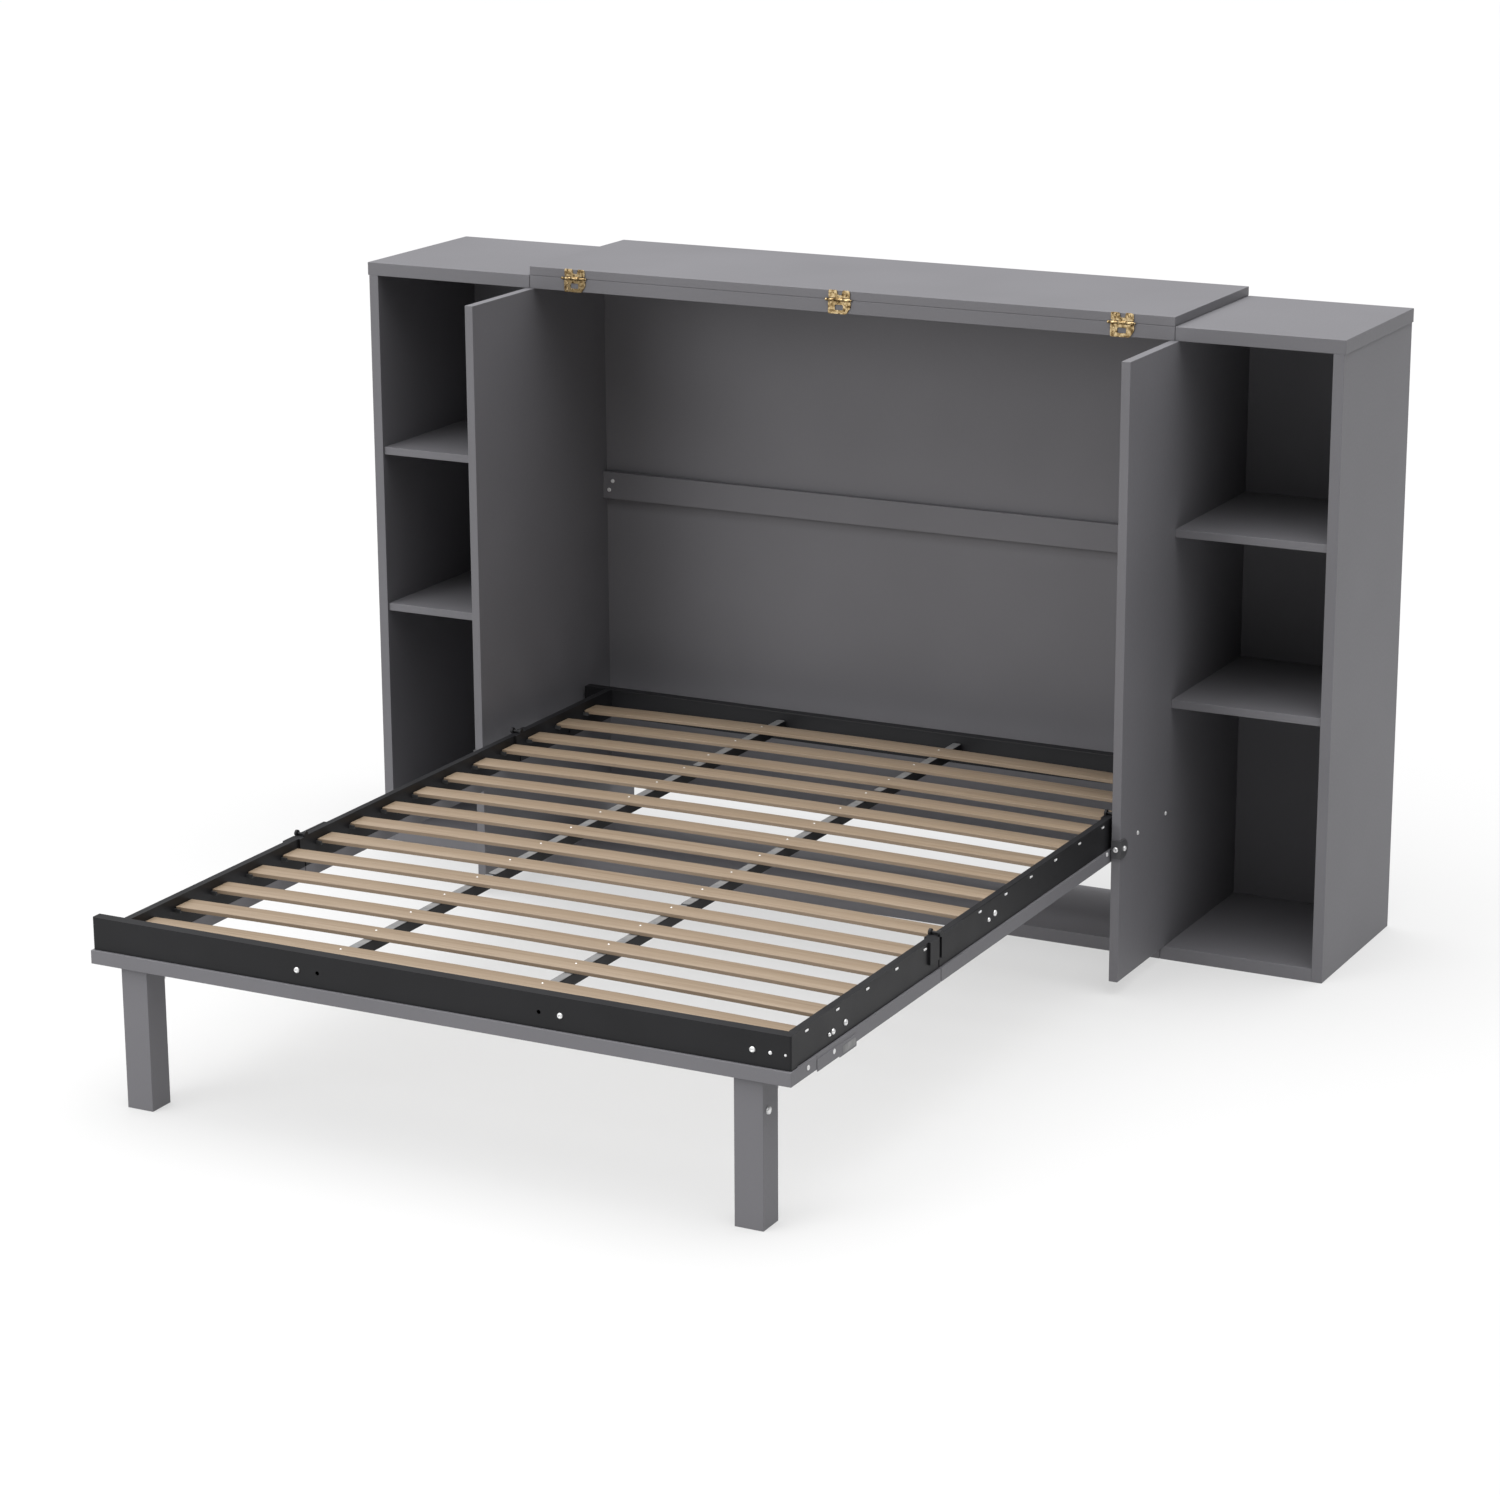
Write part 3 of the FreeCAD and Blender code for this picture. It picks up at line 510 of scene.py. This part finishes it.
def brass_hinges():
    """Leaves with shaped outlines, open centres and screws, round three knuckles and a pin."""
    fixed = Piece("hinge_lower_leaves", "cabinet", "brass")
    moving = Piece("hinge_upper_leaves", "lid", "brass")
    pins = Piece("hinge_pins", "cabinet", "brass")
    leaf_face = -0.2202
    leaf = 2
    in_front = Vector((0, -leaf * MM, 0))
    knuckles = 3
    barrel = 56
    third = barrel / knuckles
    gap = 0.3
    rise = 17
    lid_shape = ((-26, -rise), (26, -rise), (26, -3), (22, 0), (8, 0), (6, -11), (-4, -11), (-6, 0), (-26, 0))
    pin_low, pin_high = solids("top_hinge_pins")[0]
    axis = (pin_low + pin_high) / 2
    for (low, high), (_, lid_high) in zip(solids("top_hinge_fixed_leaves"),
                                          solids("top_hinge_moving_leaves")):
        middle = (low.x + high.x) / 2
        face = Vector((middle, leaf_face, high.z - 7.5 * MM))
        drop = (face.z - low.z) / MM
        rim = eased(((-27.5, 0), (27.5, 0), (27.5, -12), (17, -drop), (-27.5, -drop)), 4)
        window = eased(((-11, -7), (9, -7), (9, -19), (-11, -19)), 3)
        fixed.plate([rim, window], leaf, face, FRONT)
        for x, z in ((-20, -7), (-20, -20), (18.5, -9)):
            screw(fixed, face + in_front, x, z)
        lid_face = Vector((middle, leaf_face, lid_high.z))
        moving.plate([eased(lid_shape, 2.5)], leaf, lid_face, FRONT)
        for x in (-16, 16):
            screw(moving, lid_face + in_front, x, -6)
        for index in range(knuckles):
            piece = moving if index == 1 else fixed
            start = middle + (-barrel / 2 + index * third + gap) * MM
            knuckle(piece, (start, axis.y, axis.z), third - 2 * gap, 3.5)
            half = third / 2 - gap
            web_face = Vector((start + half * MM, leaf_face, axis.z))
            low_edge, high_edge = (-4.6, 0) if index != 1 else (0, 4.8)
            piece.plate([panel(-half, low_edge, half, high_edge, 0.5)], leaf, web_face, FRONT, 0.2)
        knuckle(pins, (middle - 33 * MM, axis.y, axis.z), 4.6, 3.1)
        knuckle(pins, (middle + 28.4 * MM, axis.y, axis.z), 2.6, 2.4)
    fixed.finish("top_hinge_fixed_leaves")
    moving.finish("top_hinge_moving_leaves")
    pins.finish("top_hinge_pins")


# ---------------------------------------------------------------- bed fittings

def slat_height(x):
    """The height of a slat's top above its ends' top, at a place along it."""
    return SLAT_BOW * (SLAT_HALF ** 2 - (x - SLAT_MIDDLE) ** 2)


def bar_straps():
    """A flat strap along each centre bar, and a screw through each slat into the bar."""
    half_width = 9.5
    thick = 0.8
    sink = 0.2 * MM
    for section, body in SECTIONS:
        straps = Piece(f"{section}_bar_straps", body, "zinc_steel", "strap_steel")
        screws = Piece(f"{section}_slat_screws", body, "zinc_steel")
        for low, high in solids(f"{section}_centre_bars"):
            half = (high.y - low.y) / 2 / MM - 2
            middle = ((low.x + high.x) / 2, (low.y + high.y) / 2, high.z)
            straps.plate([panel(-half_width, -half, half_width, half, 6)], thick, middle, UP, 0.15)
            for slat_low, slat_high in solids(f"{section}_slats"):
                top = slat_low.z + SLAT_THICK + slat_height(middle[0])
                where = (middle[0] - 2 * MM, (slat_low.y + slat_high.y) / 2 + 7 * MM, top - sink)
                screws.bolt(where, UP, 2.3, 1.0, 1.0)
        straps.finish()
        screws.finish()


def rail_fittings():
    """The clips at the slat ends, and the bolts on the outer faces of the side rails."""
    clip_half, clip_rise, clip_thick = 6.5, 2.1, 1.4
    clip_drop = 9 * MM
    for section, body in SECTIONS[1:]:
        piece = Piece(f"{section}_rail_fittings", body, "zinc_steel")
        for word, side in SIDES:
            low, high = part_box(f"{section}_{word}_rail")
            face = high.x if side > 0 else low.x
            for slat_low, slat_high in solids(f"{section}_slats"):
                y = (slat_low.y + slat_high.y) / 2 - 8 * MM
                z = high.z - clip_drop
                outline = panel(-clip_half, -clip_rise, clip_half, clip_rise, 1.9)
                piece.plate([outline], clip_thick, (face, y, z), (side, 0, 0))
                piece.bolt((face + side * 1.2 * MM, y, z), (side, 0, 0), 1.8, 1.4, socket=False)
            for y, z, radius in RAIL_BOLTS[section]:
                piece.bolt((face, y, z), (side, 0, 0), radius, 3.6)
        piece.finish()


def strip_fittings():
    """Lapped plates and small bolts along the strips behind the foot board."""
    plates = Piece("strip_lap_plates", "foot_section", "grey_board")
    bright = Piece("strip_bright_plates", "foot_section", "zinc_steel", "strap_steel")
    bolts = Piece("strip_bolts", "foot_section", "zinc_steel")
    ends = Piece("strip_end_bolts", "mid_section", "zinc_steel")
    board_low, board_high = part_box("foot_board")
    laps = ((-1.888, -1.796, 4), (-1.796, -1.724, 7))
    lap_thick = 1.2
    radius = 5.2
    for word, side in SIDES:
        outward = (side, 0, 0)
        low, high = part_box(f"foot_{word}_strip")
        face = high.x if side > 0 else low.x
        lap_face = face + side * lap_thick * MM
        for start, end, drop in laps:
            half = (end - start) / 2 / MM
            outline = panel(-half, -drop, half, 22 - drop / 2, 2)
            plates.plate([outline], lap_thick, (face, (start + end) / 2, low.z), outward, 0.25)
        bright.plate([panel(-26, -3, 28, 12, 3)], 0.5, (lap_face, -1.757, low.z), outward, 0.1)
        bolts.bolt((lap_face, -1.818, low.z + 13 * MM), outward, radius, 0.8, socket=False)
        edge = board_high.x if side > 0 else board_low.x
        bolts.bolt((edge, -1.923, board_low.z + 16 * MM), outward, radius, 1.8)
        strip_low, strip_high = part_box(f"mid_{word}_strip")
        face = strip_high.x if side > 0 else strip_low.x
        ends.bolt((face, -0.507, strip_high.z - 5 * MM), outward, 5.0, 1.8)
    for piece in (plates, bright, bolts, ends):
        piece.finish()


def foot_rail_fittings():
    """Two small fasteners near the right-hand end of the foot rail."""
    piece = Piece("foot_rail_fasteners", "foot_section", "zinc_steel")
    drop = 37 * MM
    low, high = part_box("foot_end_rail")
    for x, radius in ((0.726, 3.8), (0.757, 2.6)):
        piece.bolt((x, low.y, high.z - drop), FRONT, radius, 1.8, socket=False)
    piece.finish()


SECTIONS = (("head", "cabinet"), ("mid", "mid_section"), ("foot", "foot_section"))
# y, z and head radius of each bolt on a side rail's outer face
RAIL_BOLTS = {
    "mid": ((-1.082, 0.357, 6.5), (-1.112, 0.352, 4.5)),
    "foot": ((-1.760, 0.345, 6.5), (-1.812, 0.344, 6.0), (-1.828, 0.343, 4.0)),
}

front_bolts("foot_rail_bolt_heads", "foot_rail_bolts", "foot_section", 4, 0.86)
front_bolts("rail_screws", "cross_rail_screws", "cabinet", 2)
clip_bolts()
section_studs()
leg_caps()
brass_hinges()
bar_straps()
rail_fittings()
strip_fittings()
foot_rail_fittings()

# ---------------------------------------------------------------- floor, light and camera

def floor():
    """A wide pale floor that glows a little, so that shadows on it stay light."""
    reach = 60.0
    dark, light = (0.245, 0.245, 0.245), (0.255, 0.255, 0.255)
    mesh = bpy.data.meshes.new("floor")
    corners = [(-reach, -reach, 0), (reach, -reach, 0), (reach, reach, 0), (-reach, reach, 0)]
    mesh.from_pydata(corners, [], [(0, 1, 2, 3)])
    item = bpy.data.objects.new("floor", mesh)
    bpy.context.scene.collection.objects.link(item)
    g = Graph("floor")
    tone = g.ramp(g.noise(g.coords, 0.4, 2.0), ((0.3, dark), (0.7, light)))
    mesh.materials.append(g.finish(tone, 0.9, Specular_IOR_Level=0.1, Emission_Color=(1, 1, 1, 1),
                                   Emission_Strength=0.48))


def area(name, where, target, size, power):
    light = bpy.data.lights.new(name, "AREA")
    light.shape = "DISK"
    light.size = size
    light.energy = power
    item = bpy.data.objects.new(name, light)
    item.location = where
    item.rotation_euler = (Vector(target) - Vector(where)).to_track_quat("-Z", "Y").to_euler()
    bpy.context.scene.collection.objects.link(item)


def light_rig():
    """A studio whose ceiling glows most straight overhead, and one large soft light in front."""
    overhead, falloff, ambient = 5.2, 3.0, 0.03
    world = bpy.data.worlds.new("studio")
    bpy.context.scene.world = world
    world.use_nodes = True
    tree = world.node_tree
    background = tree.nodes["Background"]
    background.inputs["Color"].default_value = (1, 1, 1, 1)
    coords = tree.nodes.new("ShaderNodeTexCoord")
    split = tree.nodes.new("ShaderNodeSeparateXYZ")
    tree.links.new(coords.outputs["Generated"], split.inputs[0])
    backdrop = tree.nodes.new("ShaderNodeLightPath").outputs["Is Camera Ray"]
    value = split.outputs["Z"]
    for operation, amount in (("MAXIMUM", 0.0), ("POWER", falloff), ("MULTIPLY", overhead), ("ADD", ambient),
                              ("MAXIMUM", backdrop)):
        step = tree.nodes.new("ShaderNodeMath")
        step.operation = operation
        tree.links.new(value, step.inputs[0])
        if amount is backdrop:
            tree.links.new(backdrop, step.inputs[1])
        else:
            step.inputs[1].default_value = amount
        value = step.outputs[0]
    tree.links.new(value, background.inputs["Strength"])
    area("front", (-4.5, -9.0, 4.0), (0, -0.4, 0.7), 6.0, 370)


def camera():
    """A long lens in front of the bed's foot, to the right and above, looking down at the cabinet."""
    place = (3.8137, -8.0285, 2.8536)
    turn, tilt, roll = math.radians(27.353), math.radians(15.905), math.radians(-0.275)
    data = bpy.data.cameras.new("camera")
    data.sensor_width = 36
    data.lens = 96.127
    data.clip_end = 200
    item = bpy.data.objects.new("camera", data)
    item.matrix_world = (Matrix.Translation(place) @ Matrix.Rotation(turn, 4, "Z")
                         @ Matrix.Rotation(math.pi / 2 - tilt, 4, "X") @ Matrix.Rotation(roll, 4, "Z"))
    bpy.context.scene.collection.objects.link(item)
    bpy.context.scene.camera = item


floor()
light_rig()
camera()
bpy.context.scene.view_settings.view_transform = "Standard"
